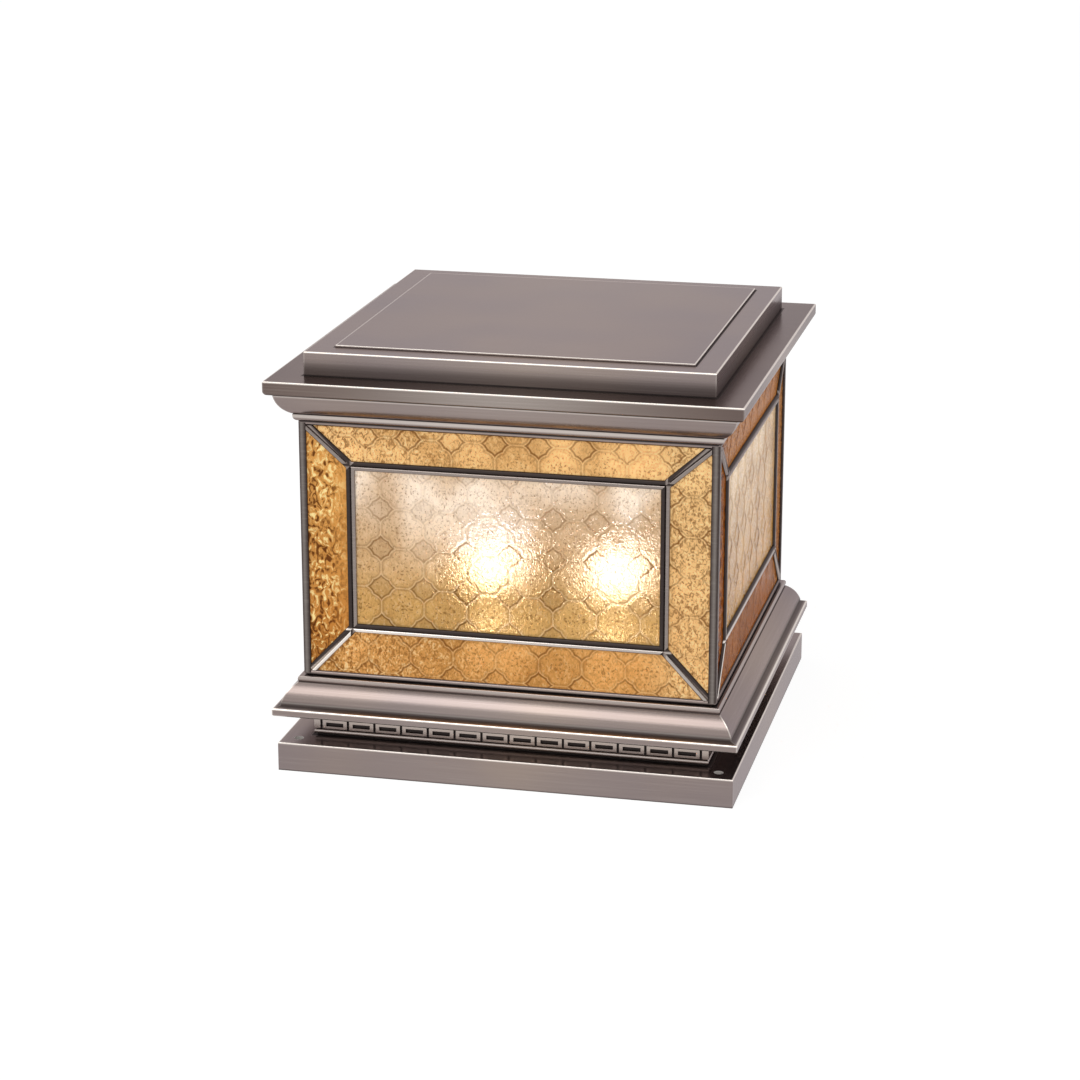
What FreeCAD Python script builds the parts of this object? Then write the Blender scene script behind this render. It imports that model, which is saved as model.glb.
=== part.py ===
import FreeCAD
import Part

import math
import os

from FreeCAD import Vector

# A square pillar lamp: a fixing tray, a fretted neck, a moulded plinth, a lantern of four leaded glass
# sides, two screw-in bulbs, and a cap that lifts off for relamping.
# Millimetres, +Z up, front towards -Y, origin at the centre of the tray's underside.

# The lantern body, which the other widths are set off from.
body_width = 272.0
post_strip = 5.3
post_radius = 2.4
post_edge_radius = 0.9
lip_thickness = 1.5
lip_height = 1.7
opening_height = 164.4
rail_plate = 0.7
rail_recess = 2.8
shadow_gap = 1.2
rail_inner_lip = 1.5

# The fixing tray.
tray_overhang = 14.0
tray_height = 19.2
tray_sheet = 2.0
tray_edge_radius = 0.8
fixing_edge_distance = 11.0
fixing_hole_radius = 3.0
fixing_boss_radius = 6.5

# The neck and its row of small raised frames.
neck_inset = 5.0
neck_height = 18.8
neck_wall = 3.0
fret_relief = 1.8
fret_pitch = 18.0
fret_gap = 1.6
fret_slot_width = 11.7
fret_bottom = 4.9
fret_foot = 1.5
fret_slot_height = 2.7
fret_head = 3.2
fret_end_least = 4.0
neck_bead_bottom = 1.2
neck_bead_height = 2.7
neck_bead_flat = 1.2
weld = 0.5  # how far two shapes of one piece run into each other before they are joined

# The plinth moulding, from its lower band up to its top bead.
band_overhang = 16.7
band_height = 5.0
band_edge = 0.8
ledge_depth = 4.4
ledge_rise = 1.4
riser_height = 1.0
plinth_sagitta = 1.4
plinth_bead_height = 3.8
plinth_bead_overhang = 3.0
plinth_bead_bulge = 0.6
plinth_bead_groove = 0.4
plinth_bead_shoulder = 0.3
plinth_height = 24.0

# The glass and the lead-pattern strips that hold it.
glass_thickness = 3.0
pane_edge_cover = 0.6
pane_play = 0.2
pane_top_play = 0.3
pane_back_play = 0.1
came_width = 6.0
came_web = 1.2
came_flange = 0.4
came_bead = 1.2
came_back_flange = 0.9
border_side = 28.8
border_top = 25.3
border_bottom = 30.8

# The upper rail's upstand, which the cap sits over.
top_rail_plate = 1.1
upstand_inset = 1.1
upstand_wall = 1.5
upstand_height = 10.3
part_clearance = 0.3

# The cap.
skirt_clearance = 1.0
skirt_thickness = 2.6
cap_bead_height = 4.3
cap_bead_foot = 1.95
cap_bead_flat = 0.86
cap_bead_sagitta = 0.6
cap_groove = 0.6
cap_groove_depth = 0.7
ovolo_step = 0.3
ovolo_out = 9.4
ovolo_rise = 12.8
ovolo_sagitta = 1.8
soffit_height = 1.1
cap_shoulder_width = 8.0
gasket_thickness = 1.5
gasket_width = 3.0
eave_overhang = 17.2
eave_height = 9.4
eave_lower_radius = 3.2
eave_upper_radius = 0.6
eave_sheet = 2.0
lid_inset = 3.8
lid_height = 15.6
lid_sheet = 2.0
lid_edge_radius = 0.8
lid_panel_inset = 16.2
lid_panel_height = 1.4
lid_panel_edge = 0.3

# The two locking screws through the back of the cap's skirt.
lock_spacing = 140.0
lock_screw_radius = 1.25
lock_hole_play = 0.1
lock_screw_rise = 2.0
lock_head_radius = 2.4
lock_head_length = 3.5
lock_washer_radius = 2.5
lock_washer_thickness = 0.5
lock_head_play = 0.1
lock_slot_width = 0.8
lock_slot_depth = 1.0

# The lamps, their holders and the bridge that carries them.
lamp_spacing = 87.0
bridge_width = 40.0
bridge_margin = 2.5
bridge_sheet = 1.5
bridge_clear_height = 2.5
bridge_foot = 14.5
holder_radius = 20.0
holder_height = 34.8
holder_floor = 2.3
holder_edge = 1.0
holder_bore_radius = 13.9
holder_entry_width = 12.0
holder_entry_depth = 6.0
holder_entry_height = 7.0
sleeve_wall = 0.5
sleeve_play = 0.05
sleeve_height = 27.5
contact_spring_radius = 3.5
contact_spring_height = 3.2
bulb_tip_radius = 4.5
bulb_tip_height = 1.1
bulb_tip_play = 0.1
bulb_base_radius = 13.2
bulb_base_height = 25.8
bulb_base_taper = 4.8
bulb_insulator_radius = 5.2
bulb_socket_depth = 3.0
bulb_neck_radius = 12.1
bulb_neck_play = 0.2
bulb_radius = 30.0
bulb_length = 104.5
bulb_cone_angle = 35.0
bulb_neck_bend = 18.0
bulb_wall = 1.0

# Wiring and small hardware on the tray.
grommet_offset = 48.0
grommet_hole_radius = 9.0
grommet_bore_radius = 5.0
grommet_flange_radius = 12.0
grommet_flange = 2.0
grommet_play = 0.1
grommet_edge = 1.0
terminal_offset = 75.0
terminal_length = 32.0
terminal_depth = 18.0
terminal_height = 15.0
terminal_screw_radius = 2.6
terminal_way_spacing = 10.0
lead_radius = 2.0
lead_bend_share = 0.45
screw_radius = 1.9
screw_hole_radius = 2.1
screw_head_radius = 3.6
screw_head_height = 2.4
screw_reach = 2.0
screw_row = 11.0
earth_screw_x = 34.0

# Half widths and levels that follow from the sizes above.
body_half = body_width / 2
glass_front = body_half - lip_thickness
glass_back = glass_front - glass_thickness
opening_half = body_half - post_strip
panel_half = opening_half + pane_edge_cover
tray_half = body_half + tray_overhang
fixing_half = tray_half - fixing_edge_distance
neck_half = body_half - neck_inset
neck_ring_half = neck_half - fret_relief
neck_inner_half = neck_ring_half - neck_wall
plinth_inner_half = neck_inner_half + neck_wall / 3
band_half = body_half + band_overhang
plinth_bead_half = body_half + plinth_bead_overhang
upstand_half = body_half - upstand_inset
skirt_inner_half = upstand_half + skirt_clearance
skirt_half = skirt_inner_half + skirt_thickness
eave_half = body_half + eave_overhang
lid_half = body_half - lid_inset
lid_panel_half = lid_half - lid_panel_inset
cap_inner_half = skirt_inner_half - cap_shoulder_width

neck_base = tray_height
plinth_base = neck_base + neck_height
rail_base = plinth_base + plinth_height
rail_plate_base = rail_base + shadow_gap
channel_floor = rail_plate_base + rail_plate
opening_bottom = channel_floor + lip_height
opening_top = opening_bottom + opening_height
top_plate_base = opening_top + lip_height
top_plate_top = top_plate_base + top_rail_plate
upstand_top = top_plate_top + upstand_height
skirt_base = top_plate_top + part_clearance
gasket_base = upstand_top + part_clearance
shoulder_base = gasket_base + gasket_thickness
ovolo_base = skirt_base + cap_bead_height + cap_groove
soffit_base = ovolo_base + ovolo_rise
eave_base = soffit_base + soffit_height
lid_base = eave_base + eave_height
lid_top = lid_base + lid_height

bridge_top = tray_height + bridge_clear_height + bridge_sheet
holder_floor_top = bridge_top + holder_floor
bulb_tip = holder_floor_top + contact_spring_height + part_clearance
bulb_base_bottom = bulb_tip + bulb_tip_height + bulb_tip_play
bulb_base_top = bulb_base_bottom + bulb_base_height
bulb_centre = bulb_tip + bulb_length - bulb_radius
lock_level = skirt_base + lock_screw_rise
lamp_places = {"left": -lamp_spacing / 2, "right": lamp_spacing / 2}
lock_places = {"left": -lock_spacing / 2, "right": lock_spacing / 2}
side_names = ["front", "right", "back", "left"]
over = 10.0


def box(x0, x1, y0, y1, z0, z1):
    return Part.makeBox(x1 - x0, y1 - y0, z1 - z0, Vector(x0, y0, z0))


def square_block(half, z0, z1):
    return box(-half, half, -half, half, z0, z1)


def square_ring(outer_half, inner_half, z0, z1, corner_radius=0.0):
    outer = square_block(outer_half, z0, z1)
    if corner_radius > 0:
        upright = [e for e in outer.Edges if abs(e.tangentAt(e.FirstParameter).z) > 0.9]
        outer = outer.makeFillet(corner_radius, upright)
    return outer.cut(square_block(inner_half, z0 - over, z1 + over))


def cylinder(x, y, z0, z1, radius):
    return Part.makeCylinder(radius, z1 - z0, Vector(x, y, z0))


def joined(shapes):
    return shapes[0].multiFuse(shapes[1:]).removeSplitter()


def level_edges(shape, z):
    """The edges of a shape that lie flat at one height."""
    return [e for e in shape.Edges if all(abs(v.Z - z) < 0.001 for v in e.Vertexes)]


def bulged(start, end, sagitta):
    """The middle point of an arc that bulges to the right of the way from start to end."""
    run = (end[0] - start[0], end[1] - start[1])
    length = math.hypot(*run)
    return (
        (start[0] + end[0]) / 2 + sagitta * run[1] / length,
        (start[1] + end[1]) / 2 - sagitta * run[0] / length,
    )


def outline(place, start, steps):
    """A closed face from lines (one point) and arcs (middle point, end point), each put in space by place."""
    edges = []
    here = start
    closing = [] if math.dist(steps[-1][-1], start) < 0.0001 else [[start]]
    for step in steps + closing:
        if len(step) == 2:
            edges.append(Part.Arc(place(here), place(step[0]), place(step[1])).toShape())
        else:
            edges.append(Part.makeLine(place(here), place(step[0])))
        here = step[-1]
    return Part.Face(Part.Wire(edges))


def mitred_length(start, steps):
    """The front length of a moulding, cut at 45 degrees at both ends."""
    reach = tray_half + band_half
    face = outline(lambda p: Vector(-reach, -p[0], p[1]), start, steps)
    bar = face.extrude(Vector(2 * reach, 0, 0))
    top = max(v.Z for v in bar.Vertexes) + over
    bottom = min(v.Z for v in bar.Vertexes) - over
    corners = [(0, 0), (-reach, -reach), (reach, -reach), (0, 0)]
    wedge = Part.Face(Part.makePolygon([Vector(x, y, bottom) for x, y in corners]))
    return bar.common(wedge.extrude(Vector(0, 0, top - bottom)))


def turned(shape, quarters):
    copy = shape.copy()
    copy.rotate(Vector(0, 0, 0), Vector(0, 0, 1), 90.0 * quarters)
    return copy


def four_sides(shape):
    return [turned(shape, quarters) for quarters in range(4)]


def revolved(start, steps):
    face = outline(lambda p: Vector(p[0], 0, p[1]), start, steps)
    return face.revolve(Vector(0, 0, 0), Vector(0, 0, 1), 360)


def moved(shape, x, y, z=0.0):
    copy = shape.copy()
    copy.translate(Vector(x, y, z))
    return copy


def bridge_screw_places():
    foot_middle = bridge_half_length() + bridge_sheet + bridge_foot / 2
    return [(sx * foot_middle, sy * screw_row) for sx in (-1, 1) for sy in (-1, 1)]


def bridge_half_length():
    return lamp_spacing / 2 + holder_radius + bridge_margin


def screw_places():
    return bridge_screw_places() + [(earth_screw_x, grommet_offset)]


def base_tray():
    tray = square_block(tray_half, 0, tray_height)
    tray = tray.makeFillet(tray_edge_radius, level_edges(tray, tray_height))
    tray = tray.cut(square_block(tray_half - tray_sheet, -over, tray_height - tray_sheet))
    corners = [(sx * fixing_half, sy * fixing_half) for sx in (-1, 1) for sy in (-1, 1)]
    bosses = [cylinder(x, y, 0, tray_height - tray_sheet / 2, fixing_boss_radius) for x, y in corners]
    holes = [cylinder(x, y, -over, tray_height + over, fixing_hole_radius) for x, y in corners]
    holes.append(cylinder(0, grommet_offset, tray_sheet, tray_height + over, grommet_hole_radius))
    for x, y in screw_places():
        holes.append(cylinder(x, y, tray_sheet, tray_height + over, screw_hole_radius))
    return tray.multiFuse(bosses).cut(holes)


def neck_ring():
    ring = square_ring(neck_ring_half, neck_inner_half, neck_base, plinth_base)
    bead_bottom = neck_base + neck_bead_bottom
    bead_top = bead_bottom + neck_bead_height
    start = (neck_ring_half - weld, bead_bottom)
    end = (neck_ring_half - weld, bead_top)
    low = (neck_ring_half + neck_bead_flat, bead_bottom)
    high = (neck_ring_half + neck_bead_flat, bead_top)
    middle = (neck_half, (bead_bottom + bead_top) / 2)
    bead = mitred_length(start, [[low], [middle, high], [end]])
    return joined([ring] + four_sides(bead))


def fret_frieze():
    """Four strips of small raised frames, which hang from a plain band behind the plinth's edge."""
    units = 2 * int((neck_half - fret_end_least) // fret_pitch)
    bottom = neck_base + fret_bottom
    slot_bottom = bottom + fret_foot
    slot_top = slot_bottom + fret_slot_height
    frame_top = slot_top + fret_head
    strip = box(-neck_half, neck_half, -neck_half, -neck_ring_half, bottom, plinth_base)
    front, back = -neck_half - over, -neck_ring_half + over
    cuts = []
    for n in range(units + 1):
        x = (n - units / 2) * fret_pitch
        cuts.append(box(x - fret_gap / 2, x + fret_gap / 2, front, back, bottom - over, frame_top))
    for n in range(units):
        x = (n + 0.5 - units / 2) * fret_pitch
        half = fret_slot_width / 2
        cuts.append(box(x - half, x + half, front, back, slot_bottom, slot_top))
    strip = strip.cut(cuts)
    mitre = mitred_length(
        (neck_ring_half, neck_base),
        [[(neck_half, neck_base)], [(neck_half, plinth_base)], [(neck_ring_half, plinth_base)]],
    )
    return Part.makeCompound(four_sides(strip.common(mitre)))


def plinth_length():
    band_top = plinth_base + band_height
    ledge = (band_half - ledge_depth, band_top + ledge_rise)
    riser = (ledge[0], ledge[1] + riser_height)
    bead_top = rail_base
    bead_bottom = bead_top - plinth_bead_height
    arc_top = (plinth_bead_half, bead_bottom - plinth_bead_groove)
    bead_inner = plinth_bead_half - plinth_bead_bulge
    return mitred_length(
        (plinth_inner_half, plinth_base),
        [
            [(band_half - band_edge, plinth_base)],
            [(band_half, plinth_base + band_edge)],
            [(band_half, band_top - band_edge / 2)],
            [(band_half - band_edge / 2, band_top)],
            [ledge],
            [riser],
            [bulged(riser, arc_top, plinth_sagitta), arc_top],
            [(bead_inner, arc_top[1])],
            [(bead_inner, bead_bottom)],
            [(plinth_bead_half, bead_bottom + plinth_bead_height / 2),
             (bead_inner, bead_top - plinth_bead_shoulder)],
            [(bead_inner - plinth_bead_bulge, bead_top)],
            [(plinth_inner_half, bead_top)],
        ],
    )


def rail_lip(z0, z1, edge_z):
    """One outer lip between two posts, with its glass-side edge eased."""
    ease = lip_height / 2
    away = z0 + z1 - edge_z
    inward = edge_z + (ease if away > edge_z else -ease)
    face = outline(
        lambda p: Vector(-opening_half, -p[0], p[1]),
        (glass_front, away),
        [[(body_half, away)], [(body_half, inward)], [(body_half - ease, edge_z)], [(glass_front, edge_z)]],
    )
    return face.extrude(Vector(2 * opening_half, 0, 0))


def bottom_rail():
    inner_lip_half = glass_back - pane_back_play
    return joined(
        [
            square_ring(body_half - rail_recess, plinth_inner_half, rail_base, rail_plate_base),
            square_ring(body_half, plinth_inner_half, rail_plate_base, channel_floor, post_radius),
            square_ring(inner_lip_half, inner_lip_half - rail_inner_lip, channel_floor,
                        opening_bottom - pane_play),
        ]
        + four_sides(rail_lip(channel_floor, opening_bottom, opening_bottom))
    )


def top_rail():
    inner_lip_half = glass_back - pane_back_play
    inside = inner_lip_half - rail_inner_lip
    return joined(
        [
            square_ring(body_half, inside, top_plate_base, top_plate_top, post_radius),
            square_ring(upstand_half, upstand_half - upstand_wall, top_plate_top, upstand_top),
            square_ring(inner_lip_half, inside, opening_top + pane_play, top_plate_base),
        ]
        + four_sides(rail_lip(opening_top, top_plate_base, opening_top))
    )


def corner_post():
    """The front right post: a bar with a lip over the edge of each of the two panels that meet at it."""
    core = panel_half + pane_play
    diagonal = math.sqrt(0.5)
    corner_in = body_half - post_radius
    edge_in = opening_half + post_edge_radius
    eased = post_edge_radius * (1 - diagonal)
    face = outline(
        lambda p: Vector(p[0], -p[1], channel_floor),
        (edge_in, body_half),
        [
            [(corner_in, body_half)],
            [(corner_in + post_radius * diagonal,) * 2, (body_half, corner_in)],
            [(body_half, edge_in)],
            [(body_half - eased, opening_half + eased),
             (body_half - post_edge_radius, opening_half)],
            [(glass_front, opening_half)],
            [(glass_front, core)],
            [(core, core)],
            [(core, glass_front)],
            [(opening_half, glass_front)],
            [(opening_half, body_half - post_edge_radius)],
            [(opening_half + eased, body_half - eased),
             (edge_in, body_half)],
        ],
    )
    return face.extrude(Vector(0, 0, top_plate_base - channel_floor))


def upright_plate(points, y0, y1):
    """A flat plate with its outline in the plane of the front glass."""
    face = Part.Face(Part.makePolygon([Vector(x, y0, z) for x, z in points + points[:1]]))
    return face.extrude(Vector(0, y1 - y0, 0))


def came_corners():
    x = opening_half - border_side
    low = opening_bottom + border_bottom
    high = opening_top - border_top
    return [(-x, low), (x, low), (x, high), (-x, high)]


def opening_corners():
    return [(-opening_half, opening_bottom), (opening_half, opening_bottom),
            (opening_half, opening_top), (-opening_half, opening_top)]


def came_bar(start, end):
    """A lead-pattern strip: a double bead outside, a web between the panes and a flat flange inside."""
    length = math.hypot(end[0] - start[0], end[1] - start[1])
    along = Vector((end[0] - start[0]) / length, 0, (end[1] - start[1]) / length)
    across = Vector(-along.z, 0, along.x)
    origin = Vector(start[0], -glass_front, start[1])
    half, web = came_width / 2, came_web / 2
    rise = came_flange + came_bead
    back = -glass_thickness
    face = outline(
        lambda p: origin + across * p[0] + Vector(0, -p[1], 0),
        (-half, back - came_back_flange),
        [
            [(half, back - came_back_flange)],
            [(half, back)],
            [(web, back)],
            [(web, 0)],
            [(half, 0)],
            [(half, came_flange)],
            [(half / 2, rise), (0, came_flange)],
            [(-half / 2, rise), (-half, came_flange)],
            [(-half, 0)],
            [(-web, 0)],
            [(-web, back)],
            [(-half, back)],
        ],
    )
    return face.extrude(along * length)


def stretched(start, end, before, after):
    length = math.hypot(end[0] - start[0], end[1] - start[1])
    step = ((end[0] - start[0]) / length, (end[1] - start[1]) / length)
    return (
        (start[0] - step[0] * before, start[1] - step[1] * before),
        (end[0] + step[0] * after, end[1] + step[1] * after),
    )


def came_front():
    corners = came_corners()
    half = came_width / 2
    centre = (0, (corners[0][1] + corners[2][1]) / 2)
    outer, inner = [], []
    for x, z in corners:
        sx = math.copysign(half, x)
        sz = math.copysign(half, z - centre[1])
        outer.append((x + sx, z + sz))
        inner.append((x - sx, z - sz))
    y0, y1 = -body_half - over, -glass_back + over
    bars = []
    for n in range(4):
        m = (n + 1) % 4
        bar = came_bar(*stretched(corners[n], corners[m], half, half))
        bars.append(bar.common(upright_plate([outer[n], outer[m], inner[m], inner[n]], y0, y1)))
    opening = box(-opening_half, opening_half, y0, y1, opening_bottom, opening_top)
    for corner, frame_corner in zip(corners, opening_corners()):
        bars.append(came_bar(*stretched(corner, frame_corner, 0, over)).common(opening))
    return joined(bars)


def strip_plate(start, end, half, y0, y1):
    length = math.hypot(end[0] - start[0], end[1] - start[1])
    ax, az = -(end[1] - start[1]) / length * half, (end[0] - start[0]) / length * half
    points = [(start[0] + ax, start[1] + az), (end[0] + ax, end[1] + az),
              (end[0] - ax, end[1] - az), (start[0] - ax, start[1] - az)]
    return upright_plate(points, y0, y1)


def panes_front():
    """The five panes of one side: the panel's whole sheet, parted along the strips' webs."""
    sheet = box(-panel_half, panel_half, -glass_front, -glass_back,
                channel_floor, top_plate_base - pane_top_play)
    y0, y1 = -glass_front - over, -glass_back + over
    gap = came_web / 2 + pane_play
    corners = came_corners()
    cuts = []
    for n in range(4):
        cuts.append(strip_plate(*stretched(corners[n], corners[(n + 1) % 4], gap, gap), gap, y0, y1))
    for corner, frame_corner in zip(corners, opening_corners()):
        cuts.append(strip_plate(*stretched(corner, frame_corner, 0, over), gap, y0, y1))
    solids = sheet.cut(cuts).Solids
    middle_z = (corners[0][1] + corners[2][1]) / 2
    reach_x = corners[1][0]
    panes = {}
    for solid in solids:
        at = solid.CenterOfMass
        if at.x < -reach_x:
            panes["left"] = solid
        elif at.x > reach_x:
            panes["right"] = solid
        elif at.z > corners[2][1]:
            panes["top"] = solid
        elif at.z < corners[0][1]:
            panes["bottom"] = solid
        elif abs(at.z - middle_z) < over:
            panes["centre"] = solid
    return panes


def lock_rod(x, y0, y1, radius):
    return Part.makeCylinder(radius, y1 - y0, Vector(x, y0, lock_level), Vector(0, 1, 0))


def lock_hole(x):
    return lock_rod(x, skirt_inner_half - over, skirt_half + over, lock_screw_radius + lock_hole_play)


def cap_cornice():
    bead_top = skirt_base + cap_bead_height
    bead_start = (skirt_half - cap_bead_foot, skirt_base)
    bead_end = (skirt_half, bead_top - cap_bead_flat)
    groove = skirt_half - cap_groove_depth
    ovolo_start = (skirt_half + ovolo_step, ovolo_base)
    ovolo_end = (ovolo_start[0] + ovolo_out, soffit_base)
    length = mitred_length(
        (skirt_inner_half, skirt_base),
        [
            [bead_start],
            [bulged(bead_start, bead_end, cap_bead_sagitta), bead_end],
            [(skirt_half, bead_top)],
            [(groove, bead_top)],
            [(groove, ovolo_base)],
            [ovolo_start],
            [bulged(ovolo_start, ovolo_end, ovolo_sagitta), ovolo_end],
            [(ovolo_end[0], eave_base)],
            [(cap_inner_half, eave_base)],
            [(cap_inner_half, shoulder_base)],
            [(skirt_inner_half, shoulder_base)],
        ],
    )
    return joined(four_sides(length)).cut([lock_hole(x) for x in lock_places.values()])


def eave_slab():
    low = (eave_half - eave_lower_radius, eave_base)
    side = (eave_half, eave_base + eave_lower_radius)
    high = (eave_half, lid_base - eave_upper_radius)
    top = (eave_half - eave_upper_radius, lid_base)
    rounding = 1 - math.sqrt(0.5)
    low_middle = (eave_half - eave_lower_radius * rounding, eave_base + eave_lower_radius * rounding)
    top_middle = (eave_half - eave_upper_radius * rounding, lid_base - eave_upper_radius * rounding)
    rim = mitred_length(
        (cap_inner_half, eave_base),
        [[low], [low_middle, side], [high], [top_middle, top], [(cap_inner_half, lid_base)]],
    )
    sheet = square_block(cap_inner_half + weld, lid_base - eave_sheet, lid_base)
    return joined(four_sides(rim) + [sheet])


def lid_block():
    block = square_block(lid_half, lid_base, lid_top)
    block = block.makeFillet(lid_edge_radius, level_edges(block, lid_top))
    return block.cut(square_block(lid_half - lid_sheet, lid_base - over, lid_top - lid_sheet))


def lid_panel():
    top = lid_top + lid_panel_height
    panel = square_block(lid_panel_half, lid_top, top)
    return panel.makeChamfer(lid_panel_edge, level_edges(panel, top))


def cap_gasket():
    return square_ring(upstand_half, upstand_half - gasket_width, gasket_base, shoulder_base)


def lock_washer_start():
    return skirt_half + part_clearance


def lock_screw(x):
    """A locking screw: its tip stands just clear of the upper rail's upstand."""
    tip = upstand_half + part_clearance
    head = lock_washer_start() + lock_washer_thickness + lock_head_play
    end = head + lock_head_length
    shank = lock_rod(x, tip, head + weld, lock_screw_radius)
    slot = box(x - lock_head_radius - weld, x + lock_head_radius + weld, end - lock_slot_depth, end + over,
               lock_level - lock_slot_width / 2, lock_level + lock_slot_width / 2)
    return shank.fuse(lock_rod(x, head, end, lock_head_radius)).cut(slot)


def lock_washer(x):
    start = lock_washer_start()
    disc = lock_rod(x, start, start + lock_washer_thickness, lock_washer_radius)
    return disc.cut(lock_rod(x, start - over, start + over, lock_screw_radius + lock_hole_play))


def lamp_bridge():
    half = bridge_half_length()
    under = bridge_top - bridge_sheet
    foot_top = tray_height + bridge_sheet
    foot_end = half + bridge_foot + bridge_sheet
    face = outline(
        lambda p: Vector(p[0], -bridge_width / 2, p[1]),
        (-foot_end, tray_height),
        [[(-half, tray_height)], [(-half, under)], [(half, under)], [(half, tray_height)],
         [(foot_end, tray_height)], [(foot_end, foot_top)], [(half + bridge_sheet, foot_top)],
         [(half + bridge_sheet, bridge_top)], [(-half - bridge_sheet, bridge_top)],
         [(-half - bridge_sheet, foot_top)], [(-foot_end, foot_top)]],
    )
    bridge = face.extrude(Vector(0, bridge_width, 0))
    holes = [cylinder(x, y, tray_height - over, bridge_top + over, screw_hole_radius)
             for x, y in bridge_screw_places()]
    return bridge.cut(holes)


def lampholder(x):
    top = bridge_top + holder_height
    body = cylinder(x, 0, bridge_top, top, holder_radius)
    body = body.makeChamfer(holder_edge, level_edges(body, top))
    entry = box(x - holder_entry_width / 2, x + holder_entry_width / 2, 0,
                holder_radius + holder_entry_depth, bridge_top, bridge_top + holder_entry_height)
    bore = cylinder(x, 0, holder_floor_top, top + over, holder_bore_radius)
    return body.fuse(entry).cut(bore)


def holder_contacts():
    pieces = []
    outer = holder_bore_radius - sleeve_play
    for x in lamp_places.values():
        sleeve = cylinder(x, 0, holder_floor_top, holder_floor_top + sleeve_height, outer)
        inner = cylinder(x, 0, holder_floor_top - over, bulb_base_top + over, outer - sleeve_wall)
        pieces.append(sleeve.cut(inner))
        spring_top = holder_floor_top + contact_spring_height
        pieces.append(cylinder(x, 0, holder_floor_top, spring_top, contact_spring_radius))
    return Part.makeCompound(pieces)


def bulb_contact(x):
    return cylinder(x, 0, bulb_tip, bulb_tip + bulb_tip_height, bulb_tip_radius)


def bulb_base(x):
    shoulder = bulb_base_bottom + bulb_base_taper
    socket = bulb_neck_radius + bulb_neck_play
    base = revolved(
        (0, bulb_base_bottom),
        [[(bulb_insulator_radius, bulb_base_bottom)], [(bulb_base_radius, shoulder)],
         [(bulb_base_radius, bulb_base_top)], [(socket, bulb_base_top)],
         [(socket, bulb_base_top - bulb_socket_depth)], [(0, bulb_base_top - bulb_socket_depth)]],
    )
    return moved(base, x, 0)


def bulb_solid(inset):
    """The bulb's outline turned about its axis: neck, bend, cone and ball, all drawn in by inset."""
    neck = bulb_neck_radius - inset
    ball = bulb_radius - inset
    angle = math.radians(bulb_cone_angle)
    touch = (ball * math.cos(angle), bulb_centre - ball * math.sin(angle))
    corner_z = touch[1] - (touch[0] - neck) / math.tan(angle)
    bend = bulb_neck_bend + inset
    reach = bend * math.tan(angle / 2)
    low = (neck, corner_z - reach)
    high = (neck + reach * math.sin(angle), corner_z + reach * math.cos(angle))
    low_middle = (neck + bend * (1 - math.cos(angle / 2)), low[1] + bend * math.sin(angle / 2))
    rise = (math.pi / 2 - angle) / 2
    ball_middle = (ball * math.cos(rise), bulb_centre + ball * math.sin(rise))
    bottom = bulb_base_top - bulb_socket_depth - (over if inset > 0 else 0)
    return revolved(
        (0, bottom),
        [[(neck, bottom)], [low], [low_middle, high], [touch],
         [ball_middle, (0, bulb_centre + ball)]],
    )


def bulb_glass(x):
    return moved(bulb_solid(0).cut(bulb_solid(bulb_wall)), x, 0)


def cable_grommet():
    sheet_bottom = tray_height - tray_sheet
    top = tray_height + grommet_flange
    bottom = sheet_bottom - grommet_flange
    waist = grommet_hole_radius - grommet_play
    ring = revolved(
        (grommet_bore_radius, bottom),
        [[(grommet_flange_radius, bottom)], [(grommet_flange_radius, sheet_bottom)],
         [(waist, sheet_bottom)], [(waist, tray_height)],
         [(grommet_flange_radius, tray_height)], [(grommet_flange_radius - grommet_edge, top)],
         [(grommet_bore_radius, top)]],
    )
    return moved(ring, 0, grommet_offset)


def terminal_block():
    half = terminal_length / 2
    y0 = terminal_offset - terminal_depth / 2
    block = box(-half, half, y0, y0 + terminal_depth, tray_height, tray_height + terminal_height)
    wells = []
    for n in (-1, 0, 1):
        x = n * terminal_way_spacing
        wells.append(cylinder(x, terminal_offset, tray_height + terminal_height / 2,
                              tray_height + terminal_height + over, terminal_screw_radius))
    return block.cut(wells)


def lead_level():
    return bridge_top + holder_entry_height / 2


def lamp_lead(side):
    """A sheathed lead from the terminal block to one lampholder's entry, with one tangent bend."""
    x_end = side * lamp_spacing / 2
    start = Vector(side * terminal_length / 2, terminal_offset, lead_level())
    corner = Vector(x_end, terminal_offset, lead_level())
    end = Vector(x_end, holder_radius + holder_entry_depth, lead_level())
    first, second = (corner - start).Length, (end - corner).Length
    radius = lead_bend_share * min(first, second)
    diagonal = radius * (1 - math.sqrt(0.5))
    bend_in = Vector(corner.x - side * radius, corner.y, corner.z)
    bend_out = Vector(corner.x, corner.y - radius, corner.z)
    bend_middle = Vector(corner.x - side * diagonal, corner.y - diagonal, corner.z)
    path = Part.Wire([
        Part.makeLine(start, bend_in),
        Part.Arc(bend_in, bend_middle, bend_out).toShape(),
        Part.makeLine(bend_out, end),
    ])
    section = Part.Wire([Part.makeCircle(lead_radius, start, Vector(side, 0, 0))])
    tube = path.makePipeShell([section], True, False)
    expected = math.pi * lead_radius ** 2 * path.Length
    print("lamp lead: bend radius %.1f, volume %.1f, section times length %.1f" % (
        radius, tube.Volume, expected))
    return tube


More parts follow.
